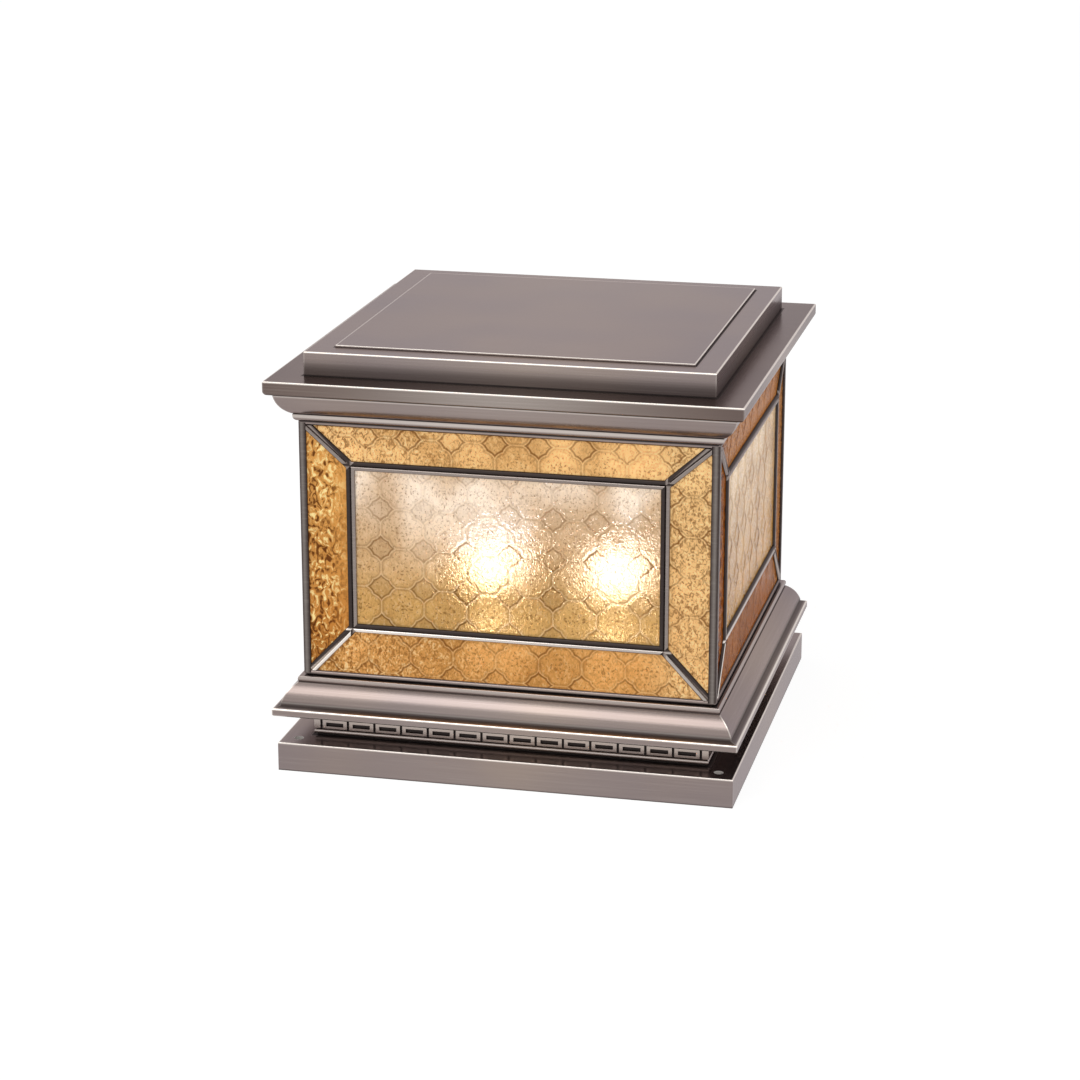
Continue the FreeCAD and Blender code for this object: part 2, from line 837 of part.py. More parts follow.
def base_screws():
    """Five like screws: four hold the bridge and one holds the earth wire to the tray."""
    screws = []
    for n, (x, y) in enumerate(screw_places()):
        seat = tray_height + (bridge_sheet if n < len(bridge_screw_places()) else 0)
        shank = cylinder(x, y, tray_height - tray_sheet - screw_reach, seat + weld, screw_radius)
        screws.append(shank.fuse(cylinder(x, y, seat, seat + screw_head_height, screw_head_radius)))
    return Part.makeCompound(screws)


def save(name, shape):
    shape.exportStep("parts/%s.step" % name)


def save_lantern():
    save("neck_ring", neck_ring())
    save("fret_frieze", fret_frieze())
    save("bottom_rail", bottom_rail())
    save("top_rail", top_rail())
    plinth = plinth_length()
    came = came_front()
    panes = panes_front()
    post = corner_post()
    for quarters, side in enumerate(side_names):
        save("plinth_" + side, turned(plinth, quarters))
        save("came_" + side, turned(came, quarters))
        for place, pane in panes.items():
            save("pane_%s_%s" % (side, place), turned(pane, quarters))
    for quarters, corner in enumerate(["front_right", "back_right", "back_left", "front_left"]):
        save("post_" + corner, turned(post, quarters))


def save_cap():
    save("cap_cornice", cap_cornice())
    save("eave_slab", eave_slab())
    save("lid_block", lid_block())
    save("lid_panel", lid_panel())
    save("cap_gasket", cap_gasket())
    for side, x in lock_places.items():
        save("lock_screw_" + side, lock_screw(x))
        save("lock_washer_" + side, lock_washer(x))


def save_lamps():
    save("lamp_bridge", lamp_bridge())
    save("holder_contacts", holder_contacts())
    for side, x in lamp_places.items():
        save("lampholder_" + side, lampholder(x))
        save("bulb_contact_" + side, bulb_contact(x))
        save("bulb_base_" + side, bulb_base(x))
        save("bulb_glass_" + side, bulb_glass(x))
    save("lamp_leads", Part.makeCompound([lamp_lead(-1), lamp_lead(1)]))


def save_tray():
    save("base_tray", base_tray())
    save("cable_grommet", cable_grommet())
    save("terminal_block", terminal_block())
    save("base_screws", base_screws())


os.makedirs("parts", exist_ok=True)
save_tray()
save_lantern()
save_lamps()
save_cap()
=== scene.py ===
import math

import bpy
from mathutils import Matrix, Vector, noise


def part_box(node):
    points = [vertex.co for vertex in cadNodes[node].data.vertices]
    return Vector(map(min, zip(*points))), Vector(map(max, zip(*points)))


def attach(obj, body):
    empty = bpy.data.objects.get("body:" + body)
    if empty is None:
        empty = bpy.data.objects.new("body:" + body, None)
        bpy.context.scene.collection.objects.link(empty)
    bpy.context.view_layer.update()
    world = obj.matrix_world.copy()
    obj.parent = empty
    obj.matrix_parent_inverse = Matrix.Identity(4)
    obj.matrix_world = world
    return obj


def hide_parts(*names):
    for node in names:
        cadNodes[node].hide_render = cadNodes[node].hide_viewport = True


# A square pillar lantern on its fixing tray: satin bronze mouldings, leaded champagne and amber glass, two lit bulbs.
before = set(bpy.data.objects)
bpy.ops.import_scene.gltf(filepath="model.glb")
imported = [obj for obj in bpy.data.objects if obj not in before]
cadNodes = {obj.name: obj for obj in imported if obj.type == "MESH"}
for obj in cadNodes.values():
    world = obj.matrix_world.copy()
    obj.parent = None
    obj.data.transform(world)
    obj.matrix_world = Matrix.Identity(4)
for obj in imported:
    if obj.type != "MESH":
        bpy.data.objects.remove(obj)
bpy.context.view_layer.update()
sideNames = ["front", "right", "back", "left"]
postNames = ["front_right", "back_right", "back_left", "front_left"]
lampSides = {"left": -1, "right": 1}
mm = 0.001
aboveAll = 1000.0  # a height in millimetres over the whole object
white = (1, 1, 1, 1)
print("frame loaded,", len(cadNodes), "nodes")


def feed(tree, node, inputs):  # a socket is linked, and any other value is written on the input itself
    for socket, value in inputs.items():
        if isinstance(value, bpy.types.NodeSocket):
            tree.links.new(value, node.inputs[socket])
        else:
            node.inputs[socket].default_value = value


def addNode(tree, kind, inputs=None, **settings):
    node = tree.nodes.new("ShaderNode" + kind)
    for name, value in settings.items():
        setattr(node, name, value)
    feed(tree, node, inputs or {})
    return node


def maths(tree, operation, *values):
    return addNode(tree, "Math", dict(enumerate(values)), operation=operation).outputs[0]


def vectors(tree, operation, first, second):
    socket = "Scale" if operation == "SCALE" else 1
    return addNode(tree, "VectorMath", {0: first, socket: second}, operation=operation).outputs[0]


def distance(tree, first, second):  # how far a point of a plane is from another, from its two offsets
    squares = [maths(tree, "MULTIPLY", offset, offset) for offset in (first, second)]
    return maths(tree, "SQRT", maths(tree, "ADD", *squares))


def pick(tree, share, first, second):  # between two numbers
    return addNode(tree, "Mix", {0: share, 2: first, 3: second}).outputs[0]


def blend(tree, share, first, second):  # between two colours
    return addNode(tree, "Mix", {0: share, 6: first, 7: second}, data_type="RGBA").outputs[2]


def ramp(tree, value, low, high, start=0.0, end=1.0):  # low..high to start..end along a smooth step
    sockets = {"Value": value, "From Min": low, "From Max": high, "To Min": start, "To Max": end}
    return addNode(tree, "MapRange", sockets, interpolation_type="SMOOTHSTEP").outputs["Result"]


def largest(tree, masks):
    total = None
    for mask in masks:
        total = mask if total is None else maths(tree, "MAXIMUM", total, mask)
    return 0.0 if total is None else total


def newGroup(name, inputs, outputs):
    tree = bpy.data.node_groups.new(name, "ShaderNodeTree")
    for way, sockets in (("INPUT", inputs), ("OUTPUT", outputs)):
        for socket, kind in sockets.items():
            tree.interface.new_socket(name=socket, in_out=way, socket_type="NodeSocket" + kind)
    return tree, tree.nodes.new("NodeGroupInput").outputs, tree.nodes.new("NodeGroupOutput")


def useGroup(tree, group, inputs):
    return addNode(tree, "Group", inputs, node_tree=group).outputs


# Millimetres out from the axis, along a side, across it and up, and how far from the line where two sides meet. Above
# Plate the faces count as one flat top, Flank is 1 on the left and right sides, and Along times Turn runs from left to
# right as each side is looked at.
def makeMouldingSpace():
    tree, given, result = newGroup(
        "mouldingSpace", {"Position": "Vector", "Plate": "Float"},
        {"Depth": "Float", "Along": "Float", "Across": "Float", "Height": "Float", "Mitre": "Float",
         "Flank": "Float", "Turn": "Float"})
    scaled = vectors(tree, "SCALE", given["Position"], 1 / mm)
    axes = addNode(tree, "SeparateXYZ", {0: scaled}).outputs
    x, y = maths(tree, "ABSOLUTE", axes[0]), maths(tree, "ABSOLUTE", axes[1])
    below = maths(tree, "LESS_THAN", axes[2], given["Plate"])
    flank = maths(tree, "MULTIPLY", maths(tree, "GREATER_THAN", x, y), below)
    front = maths(tree, "MULTIPLY", maths(tree, "SIGN", axes[1]), -1.0)
    feed(tree, result, {
        "Depth": maths(tree, "MAXIMUM", x, y),
        "Along": pick(tree, flank, axes[0], axes[1]),
        "Across": pick(tree, flank, axes[1], axes[0]),
        "Height": axes[2],
        "Mitre": maths(tree, "ABSOLUTE", maths(tree, "SUBTRACT", x, y)),
        "Flank": flank,
        "Turn": pick(tree, flank, front, maths(tree, "SIGN", axes[0]))})
    return tree


def makePaintedLightBand():  # a soft band round one edge of a moulding's section, for painted highlight or painted shade
    tree, given, result = newGroup(
        "paintedLightBand",
        {"Depth": "Float", "Height": "Float", "Edge Depth": "Float", "Edge Height": "Float", "Reach": "Float"},
        {"Mask": "Float"})
    out = maths(tree, "SUBTRACT", given["Depth"], given["Edge Depth"])
    up = maths(tree, "SUBTRACT", given["Height"], given["Edge Height"])
    share = maths(tree, "DIVIDE", distance(tree, out, up), given["Reach"])
    feed(tree, result, {"Mask": ramp(tree, share, 0.35, 1.0, 1.0, 0.0)})
    return tree


# The strips that hold the glass, in millimetres: their middle lines round the centre pane, the corners of the opening
# that the slanting ones run to, and half the gap that those leave between two panes.
stripLines = {
    "half": 101.9, "low": 96.4, "high": 204.7,
    "outerHalf": 130.7, "outerLow": 65.6, "outerHigh": 230.0,
    "gap": 0.8,
    "cornerStart": 1.5,  # how far past both lines a point lies on a slanting strip
    "slantScale": 0.7,
    "lightRun": 130.0, "lightEnd": 0.3,  # the painted highlight on the lower strips falls to this from left to right
}


# Offset is how far below or to the right of its strip's middle line a point lies, and Low is the painted highlight
#  on the lower strips.
def makeStripSides():
    tree, given, result = newGroup(
        "stripSides", {"Along": "Float", "Height": "Float"}, {"Offset": "Float", "Low": "Float"})
    low, high, run = stripLines["low"], stripLines["high"], stripLines["lightRun"]
    up = maths(tree, "SUBTRACT", given["Height"], (low + high) / 2)
    out = maths(tree, "SUBTRACT", maths(tree, "ABSOLUTE", given["Along"]), stripLines["half"])
    over = maths(tree, "SUBTRACT", maths(tree, "ABSOLUTE", up), (high - low) / 2)
    below = maths(tree, "MULTIPLY", maths(tree, "SIGN", up), -1.0)
    level = maths(tree, "MULTIPLY", below, over)
    upright = maths(tree, "MULTIPLY", maths(tree, "SIGN", given["Along"]), out)
    apart = maths(tree, "MULTIPLY", maths(tree, "SUBTRACT", over, out), stripLines["slantScale"])
    slant = maths(tree, "MULTIPLY", below, apart)
    flat = maths(tree, "LESS_THAN", maths(tree, "ABSOLUTE", over), maths(tree, "ABSOLUTE", out))
    corner = maths(tree, "GREATER_THAN", maths(tree, "MINIMUM", out, over), stripLines["cornerStart"])
    offset = pick(tree, corner, pick(tree, flat, upright, level), slant)
    lower = maths(tree, "MULTIPLY", maths(tree, "MAXIMUM", flat, corner), maths(tree, "GREATER_THAN", below, 0.0))
    light = maths(tree, "MULTIPLY", lower, ramp(tree, given["Along"], -run, run, 1.0, stripLines["lightEnd"]))
    feed(tree, result, {"Offset": offset, "Low": light})
    return tree


bronzeGrain = {
    "streakAlong": 0.012, "streakAcross": 1.1,  # the drawn streaks are long one way and fine the other
    "driftScale": 0.011, "driftRange": (0.35, 0.65), "driftShare": 0.4,
    "middleReach": 85.0, "middleShare": 0.4,  # painted reflection: the middle of each side warmer and lighter
    "rough": 0.23, "streakRough": 0.25, "paintedShadeRough": 0.3,
}


def makeSatinBronze():  # drawn streaks, slow drift from pinkish to tan, painted highlights and painted shade
    tree, given, result = newGroup(
        "satinBronze",
        {"Along": "Float", "Across": "Float", "Height": "Float",
         "Base": "Color", "Warm": "Color", "Light": "Color", "Dark": "Color",
         "Streaks": "Float", "Sheen": "Float", "Painted Highlight": "Float", "Painted Shade": "Float"},
        {"Color": "Color", "Roughness": "Float", "Relief": "Float"})
    run = addNode(tree, "CombineXYZ", {
        0: maths(tree, "MULTIPLY", given["Along"], bronzeGrain["streakAlong"]),
        1: maths(tree, "MULTIPLY", given["Across"], bronzeGrain["streakAcross"]),
        2: maths(tree, "MULTIPLY", given["Height"], bronzeGrain["streakAcross"])}).outputs[0]
    streak = addNode(tree, "TexNoise", {"Vector": run, "Scale": 1.0, "Detail": 4.0, "Roughness": 0.6}).outputs[0]
    place = addNode(tree, "CombineXYZ", {0: given["Along"], 1: given["Across"], 2: given["Height"]}).outputs[0]
    drift = addNode(tree, "TexNoise", {"Vector": place, "Scale": bronzeGrain["driftScale"],
                                       "Detail": 1.0}).outputs[0]
    # painted reflection: a lighter, warmer middle along each side
    reach = maths(tree, "DIVIDE", given["Along"], bronzeGrain["middleReach"])
    bell = maths(tree, "MULTIPLY", maths(tree, "MULTIPLY", reach, reach), -1.0)
    middle = maths(tree, "POWER", 2.718, bell)
    lift = maths(tree, "MULTIPLY", maths(tree, "SUBTRACT", streak, 0.5), given["Streaks"])
    warmth = maths(tree, "ADD", ramp(tree, drift, *bronzeGrain["driftRange"], 0.0, bronzeGrain["driftShare"]),
                   maths(tree, "MULTIPLY", middle, bronzeGrain["middleShare"]))
    toned = blend(tree, warmth, given["Base"], given["Warm"])
    lighter = maths(tree, "ADD", maths(tree, "MAXIMUM", lift, 0.0),
                    maths(tree, "MULTIPLY", middle, given["Sheen"]))
    toned = blend(tree, lighter, toned, given["Light"])
    toned = blend(tree, maths(tree, "MAXIMUM", maths(tree, "MULTIPLY", lift, -1.0), 0.0), toned, given["Dark"])
    # painted highlight and painted shade, laid over the toned colour by their masks
    paintedHighlight = blend(tree, given["Painted Highlight"], toned, given["Light"])
    paintedShade = blend(tree, given["Painted Shade"], paintedHighlight, given["Dark"])
    rough = maths(tree, "ADD", bronzeGrain["rough"], maths(tree, "MULTIPLY", lift, bronzeGrain["streakRough"]))
    rough = maths(tree, "ADD", rough, maths(tree, "MULTIPLY", given["Painted Shade"], bronzeGrain["paintedShadeRough"]))
    feed(tree, result, {"Color": paintedShade, "Roughness": rough, "Relief": streak})
    return tree


glassPattern = {  # millimetres
    "pitch": 28.2, "squat": 1.076,  # the cells are a little lower than wide
    "lobe": 6.0, "radius": 9.0, "startAlong": 15.9, "startHeight": 138.2,
    "borderShift": (9.3, 5.5),  # how far the border panes' pattern lies left of and below the centre one's
    "seeds": [(0, 1.4, 0), (0, 4.3, 0), (3.0, 2.0, 0), (6.0, 1.0, 0), (1.6, 8.0, 0)],
    "seedEdge": (0.35, 0.95), "stray": 5.0, "strayScale": 0.21,
}


def makeTrellisCells():  # four-lobed cells with small cusped diamonds between them, pressed into the glass
    tree, given, result = newGroup(
        "trellisCells", {"Along": "Float", "Height": "Float"},
        {"Ridge": "Float", "Diamond": "Float", "Seeds": "Float"})
    half = glassPattern["pitch"] / 2
    across = maths(tree, "PINGPONG", maths(tree, "SUBTRACT", given["Along"], glassPattern["startAlong"]), half)
    rise = maths(tree, "MULTIPLY", maths(tree, "SUBTRACT", given["Height"], glassPattern["startHeight"]),
                 glassPattern["squat"])
    up = maths(tree, "PINGPONG", rise, half)
    far, near = maths(tree, "MAXIMUM", across, up), maths(tree, "MINIMUM", across, up)
    away = distance(tree, maths(tree, "SUBTRACT", far, glassPattern["lobe"]), near)
    edge = maths(tree, "SUBTRACT", away, glassPattern["radius"])
    diamond = maths(tree, "GREATER_THAN", edge, 0.0)
    inside = maths(tree, "MINIMUM", maths(tree, "MULTIPLY", edge, -1.0), maths(tree, "SUBTRACT", half, far))
    face = addNode(tree, "CombineXYZ", {0: given["Along"], 1: given["Height"]}).outputs[0]
    wander = addNode(tree, "TexNoise", {"Vector": face, "Scale": glassPattern["strayScale"], "Detail": 1.0})
    stray = vectors(tree, "SUBTRACT", wander.outputs["Color"], (0.5, 0.5, 0.5))
    stray = vectors(tree, "SCALE", stray, glassPattern["stray"])
    place = addNode(tree, "CombineXYZ", {0: across, 1: up}).outputs[0]
    flat = vectors(tree, "MULTIPLY", vectors(tree, "ADD", place, stray), (1, 1, 0))
    dots = []
    for spot in glassPattern["seeds"]:
        gone = addNode(tree, "VectorMath", {0: flat, 1: spot}, operation="DISTANCE").outputs["Value"]
        dots.append(ramp(tree, gone, *glassPattern["seedEdge"], 1.0, 0.0))
    feed(tree, result, {"Ridge": pick(tree, diamond, inside, edge), "Diamond": diamond,
                        "Seeds": largest(tree, dots)})
    return tree


glassGrain = {"flankShift": 90.0, "squash": 0.7, "twist": 1.4, "stippleScale": 0.8, "cloudScale": 0.022}


def makePressedGrain():  # swirls, fine stipple and slow clouds on the face of the glass
    tree, given, result = newGroup(
        "pressedGrain", {"Along": "Float", "Height": "Float", "Flank": "Float", "Swirl Scale": "Float"},
        {"Swirl": "Float", "Stipple": "Float", "Cloud": "Float"})
    face = addNode(tree, "CombineXYZ", {
        0: given["Along"],
        1: maths(tree, "MULTIPLY", given["Flank"], glassGrain["flankShift"]),
        2: maths(tree, "MULTIPLY", given["Height"], glassGrain["squash"])}).outputs[0]
    layers = {
        "Swirl": {"Scale": given["Swirl Scale"], "Detail": 2.0, "Distortion": glassGrain["twist"]},
        "Stipple": {"Scale": glassGrain["stippleScale"], "Detail": 2.0},
        "Cloud": {"Scale": glassGrain["cloudScale"], "Detail": 1.0},
    }
    for layer, values in layers.items():
        feed(tree, result, {layer: addNode(tree, "TexNoise", {"Vector": face, **values}).outputs[0]})
    return tree


groups = {"space": makeMouldingSpace(), "edge": makePaintedLightBand(), "strip": makeStripSides(),
          "bronze": makeSatinBronze(), "trellis": makeTrellisCells(), "grain": makePressedGrain()}
print("node groups made")


def newMaterial(name):
    material = bpy.data.materials.new(name)
    material.use_nodes = True
    tree = material.node_tree
    tree.nodes.clear()
    shader = addNode(tree, "BsdfPrincipled")
    addNode(tree, "OutputMaterial", {"Surface": shader.outputs[0]})
    position = addNode(tree, "TexCoord").outputs["Object"]
    return material, tree, shader, position


def bumped(tree, height, strength, depth):
    return addNode(tree, "Bump", {"Height": height, "Strength": strength, "Distance": depth}).outputs[0]


def finishNodes(names, material):
    for name in names:
        slots = cadNodes[name].data.materials
        slots.clear()
        slots.append(material)


bronzeBasis = {  # what each bronze look below starts from
    "base": (0.245, 0.200, 0.198, 1), "warm": (0.315, 0.245, 0.205, 1), "light": (0.92, 0.85, 0.78, 1),
    "dark": (0.03, 0.024, 0.023, 1), "grazing": (0.67, 0.62, 0.63, 1), "bush": (0.93, 0.90, 0.86, 1),
    "plate": aboveAll, "paintedHighlight": [], "paintedShade": [], "streaks": 0.22, "sheen": 0.06, "metal": 0.92,
    "mitreLight": 0.45, "mitreLine": (0.2, 1.0), "mitreStep": 0.5,
    "crown": 0.35, "sunken": 0.92,
    "beadDark": (-0.5, 0.1, 0.8), "beadLight": (0.0, 0.6),
    "stripeLight": 0.14, "stripeDark": (0.7, 1.4, 0.9),
    "relief": 0.1, "reliefDepth": 0.0002,
}


def edgeBand(tree, space, band):  # one soft band along an edge
    depth, height, reach, amount = band
    paintedBand = useGroup(tree, groups["edge"], {"Depth": space["Depth"], "Height": space["Height"],
                                           "Edge Depth": depth, "Edge Height": height, "Reach": reach})
    return maths(tree, "MULTIPLY", paintedBand["Mask"], amount)


def bronzeMaterial(name, own):
    look = {**bronzeBasis, **own}
    material, tree, shader, position = newMaterial(name)
    space = useGroup(tree, groups["space"], {"Position": position, "Plate": look["plate"]})
    # painted highlights along edges and painted shade in recesses, from each finish's bands
    paintedHighlight = [edgeBand(tree, space, band) for band in look["paintedHighlight"]]
    paintedShade = [edgeBand(tree, space, band) for band in look["paintedShade"]]
    if "mitred" in look:  # a painted highlight line where two lengths meet, on what stands out past this depth
        line = ramp(tree, space["Mitre"], *look["mitreLine"], 1.0, 0.0)
        out = ramp(tree, space["Depth"], look["mitred"] - look["mitreStep"], look["mitred"])
        paintedHighlight.append(maths(tree, "MULTIPLY", maths(tree, "MULTIPLY", line, out), look["mitreLight"]))
    if "raised" in look:  # painted highlight past these depths, painted shade on what lies behind them
        paintedHighlight.append(ramp(tree, space["Depth"], *look["raised"], 0.0, look["crown"]))
        paintedShade.append(ramp(tree, space["Depth"], *look["raised"], look["sunken"], 0.0))
    if "halves" in look:  # painted shade on the upper or left bead, painted highlight on the other, most at the bottom
        along = maths(tree, "MULTIPLY", space["Along"], space["Turn"])
        strip = useGroup(tree, groups["strip"], {"Along": along, "Height": space["Height"]})
        plain, low = look["halves"]
        paintedShade.append(ramp(tree, strip["Offset"], *look["beadDark"], 0.0))
        amount = maths(tree, "ADD", plain, maths(tree, "MULTIPLY", strip["Low"], low - plain))
        paintedHighlight.append(maths(tree, "MULTIPLY", ramp(tree, strip["Offset"], *look["beadLight"]), amount))
    if "stripe" in look:  # a painted highlight down each side of a post's edge, between painted shade lines
        middle, width = look["stripe"]
        near, far, depth = look["stripeDark"]
        off = maths(tree, "ABSOLUTE", maths(tree, "SUBTRACT", space["Mitre"], middle))
        paintedHighlight.append(ramp(tree, off, 0.0, width, look["stripeLight"], 0.0))
        paintedShade.append(ramp(tree, off, width * near, width * far, 0.0, depth))
    finish = useGroup(tree, groups["bronze"], {
        "Along": space["Along"], "Across": space["Across"], "Height": space["Height"],
        "Base": look["base"], "Warm": look["warm"], "Light": look["light"], "Dark": look["dark"],
        "Streaks": look["streaks"], "Sheen": look["sheen"],
        "Painted Highlight": largest(tree, paintedHighlight), "Painted Shade": largest(tree, paintedShade)})
    colour, metal = finish["Color"], look["metal"]
    if "lining" in look:  # the pale lining of the fixing holes in the corners
        corner, radius = look["lining"]
        out = maths(tree, "SUBTRACT", space["Depth"], corner)
        along = maths(tree, "SUBTRACT", maths(tree, "ABSOLUTE", space["Along"]), corner)
        bush = maths(tree, "LESS_THAN", distance(tree, out, along), radius)
        colour = blend(tree, bush, colour, look["bush"])
        metal = maths(tree, "SUBTRACT", look["metal"], bush)
    feed(tree, shader, {"Base Color": colour, "Roughness": finish["Roughness"], "Metallic": metal,
                        "Specular Tint": look["grazing"],
                        "Normal": bumped(tree, finish["Relief"], look["relief"], look["reliefDepth"])})
    return material


# Each finish's painted highlights on edges and painted shade in recesses: millimetres out from the axis, up, how far
#  each reaches, how strong.
bronzeLooks = {
    "tray": {"paintedHighlight": [(149.8, 19.0, 1.2, 0.7)], "paintedShade": [(130.5, 19.2, 3.0, 0.8), (150, 0, 1.1, 0.6)],
             "lining": (139, 3.1), "sheen": 0.03},
    "neck": {"raised": (129.5, 130.4), "paintedShade": [(129.2, 19.6, 1.4, 0.9)]},
    "frieze": {"raised": (129.5, 130.6), "crown": 0.2,
               "base": (0.28, 0.225, 0.21, 1), "warm": (0.38, 0.295, 0.24, 1)},
    "plinth": {"paintedHighlight": [(152.5, 42.9, 1.2, 0.85), (152.5, 38.3, 0.8, 0.4), (148.0, 46.0, 0.8, 0.25),
                          (138.8, 61.2, 1.6, 0.2)],
               "paintedShade": [(149.6, 45.2, 3.4, 0.65), (138.2, 57.9, 0.9, 0.6)], "mitred": 139.4, "sheen": 0.04},
    "rail": {"paintedShade": [(133.4, 62.6, 2.6, 0.95), (136.2, 62.8, 1.4, 0.95), (135.4, 230.0, 0.8, 0.9),
                         (136, 232.6, 0.9, 0.9), (135.4, 65.6, 0.8, 0.8)],
             "base": (0.24, 0.195, 0.19, 1)},
    "cap": {"paintedHighlight": [(138.5, 236.2, 1.6, 0.4), (148.2, 250.8, 0.8, 0.3)],
            "paintedShade": [(138.0, 237.9, 1.0, 0.95), (148.4, 251.7, 0.9, 0.9), (136.2, 233.1, 0.9, 0.9)],
            "mitred": 138.9, "mitreLight": 0.25},
    "eave": {"paintedHighlight": [(153.1, 261.2, 1.2, 0.9)],
             "paintedShade": [(132.4, 261.3, 2.2, 0.8), (150.4, 252.0, 2.6, 0.8)],
             "base": (0.13, 0.095, 0.087, 1), "warm": (0.19, 0.14, 0.115, 1), "plate": 261.2,
             "mitred": 152.6, "mitreLight": 0.15, "sheen": 0.24},
    "lid": {"paintedHighlight": [(132.1, 276.8, 1.1, 0.95)],
            "paintedShade": [(116.5, 276.9, 1.0, 0.95), (132.2, 261.3, 1.4, 0.9), (132.4, 261.0, 13.0, 0.5)],
            "plate": 276.8, "mitred": 131.7, "mitreLight": 0.2, "streaks": 0.25, "sheen": 0.05},
    "panel": {"paintedHighlight": [(115.9, 278.2, 1.0, 0.9)], "plate": 278.2, "streaks": 0.12, "sheen": 0.03},
    "post": {"stripe": (2.5, 2.2), "base": (0.07, 0.054, 0.05, 1), "warm": (0.09, 0.068, 0.06, 1), "sheen": 0.0},
    "came": {"raised": (134.6, 135.1), "crown": 0.0, "halves": (0.15, 0.85), "streaks": 0.35, "sheen": 0.0,
             "base": (0.14, 0.108, 0.10, 1), "warm": (0.18, 0.135, 0.115, 1)},
}
bronzeNodes = {
    "tray": ["base_tray"], "neck": ["neck_ring"], "frieze": ["fret_frieze"],
    "plinth": ["plinth_" + side for side in sideNames], "rail": ["bottom_rail", "top_rail"],
    "cap": ["cap_cornice"], "eave": ["eave_slab"], "lid": ["lid_block"], "panel": ["lid_panel"],
    "post": ["post_" + corner for corner in postNames], "came": ["came_" + side for side in sideNames],
}
for kind, look in bronzeLooks.items():
    finishNodes(bronzeNodes[kind], bronzeMaterial(kind + "Bronze", look))
print("bronze finished")


smallPartGrain = {"contrast": 0.5, "roughness": 0.15, "relief": 0.2, "reliefDepth": 0.0003}


def plainMaterial(name, look):  # small parts: a base tone, a fine grain and a soft relief
    material, tree, shader, position = newMaterial(name)
    grain = addNode(tree, "TexNoise", {"Vector": position, "Scale": look["grain"], "Detail": 3.0}).outputs[0]
    share = maths(tree, "MULTIPLY", grain, smallPartGrain["contrast"])
    uneven = maths(tree, "MULTIPLY", grain, smallPartGrain["roughness"])
    feed(tree, shader, {
        "Base Color": blend(tree, share, look["base"], look["shade"]),
        "Roughness": maths(tree, "ADD", look["rough"], uneven),
        "Metallic": look.get("metal", 0.0),
        "Normal": bumped(tree, grain, smallPartGrain["relief"], smallPartGrain["reliefDepth"])})
    return material


plainLooks = {
    "galvanised": {"base": (0.62, 0.63, 0.64, 1), "shade": (0.40, 0.41, 0.43, 1), "grain": 70, "rough": 0.3,
                   "metal": 0.9},
    "holderPlastic": {"base": (0.86, 0.83, 0.77, 1), "shade": (0.74, 0.71, 0.65, 1), "grain": 240, "rough": 0.4},
    "contactBrass": {"base": (0.78, 0.60, 0.30, 1), "shade": (0.55, 0.40, 0.18, 1), "grain": 220, "rough": 0.25,
                     "metal": 1.0},
    "capMetal": {"base": (0.72, 0.72, 0.70, 1), "shade": (0.52, 0.52, 0.52, 1), "grain": 300, "rough": 0.25,
                 "metal": 1.0},
    "sealRubber": {"base": (0.03, 0.03, 0.03, 1), "shade": (0.06, 0.06, 0.06, 1), "grain": 350, "rough": 0.6},
    "terminalPlastic": {"base": (0.82, 0.81, 0.78, 1), "shade": (0.68, 0.67, 0.64, 1), "grain": 260,
                        "rough": 0.45},
    "leadSheath": {"base": (0.05, 0.05, 0.05, 1), "shade": (0.11, 0.11, 0.11, 1), "grain": 400, "rough": 0.5},
    "screwSteel": {"base": (0.55, 0.55, 0.56, 1), "shade": (0.36, 0.36, 0.38, 1), "grain": 300, "rough": 0.28,
                   "metal": 1.0},
}
plainNodes = {
    "galvanised": ["lamp_bridge"],
    "holderPlastic": ["lampholder_left", "lampholder_right"],
    "contactBrass": ["holder_contacts", "bulb_contact_left", "bulb_contact_right"],
    "capMetal": ["bulb_base_left", "bulb_base_right"],
    "sealRubber": ["cap_gasket", "cable_grommet"],
    "terminalPlastic": ["terminal_block"],
    "leadSheath": ["lamp_leads"],
    "screwSteel": ["base_screws", "lock_screw_left", "lock_screw_right", "lock_washer_left", "lock_washer_right"],
}
for kind, look in plainLooks.items():
    finishNodes(plainNodes[kind], plainMaterial(kind, look))


bulbLook = {"glass": (0.95, 0.90, 0.80, 1), "frost": (0.85, 0.78, 0.66, 1), "light": (0.86, 0.95, 1.3, 1),
            "warm": (0.95, 0.92, 0.95, 1), "heart": 320.0, "focus": 13.0, "skin": 0.5,
            "frostScale": 500.0, "frostShare": 0.3, "rough": 0.3}


def litOpal(look):  # a bright heart that fades to a dim skin, unseen by matt surfaces
    material, tree, shader, position = newMaterial("litOpal")
    frost = addNode(tree, "TexNoise", {"Vector": position, "Scale": look["frostScale"], "Detail": 2.0}).outputs[0]
    frosted = maths(tree, "MULTIPLY", frost, look["frostShare"])
    facing = addNode(tree, "LayerWeight", {"Blend": 0.5}).outputs["Facing"]
    heart = maths(tree, "POWER", maths(tree, "SUBTRACT", 1.0, facing), look["focus"])
    seen = maths(tree, "SUBTRACT", 1.0, addNode(tree, "LightPath").outputs["Is Diffuse Ray"])
    shine = maths(tree, "ADD", maths(tree, "MULTIPLY", heart, look["heart"]), look["skin"])
    light = blend(tree, frosted, look["light"], look["warm"])
    feed(tree, shader, {
        "Base Color": blend(tree, frosted, look["glass"], look["frost"]),
        "Emission Color": vectors(tree, "SCALE", light, maths(tree, "MULTIPLY", shine, seen)),
        "Emission Strength": 1.0,
        "Roughness": look["rough"]})
    return material


finishNodes(["bulb_glass_left", "bulb_glass_right"], litOpal(bulbLook))
print("small parts finished")


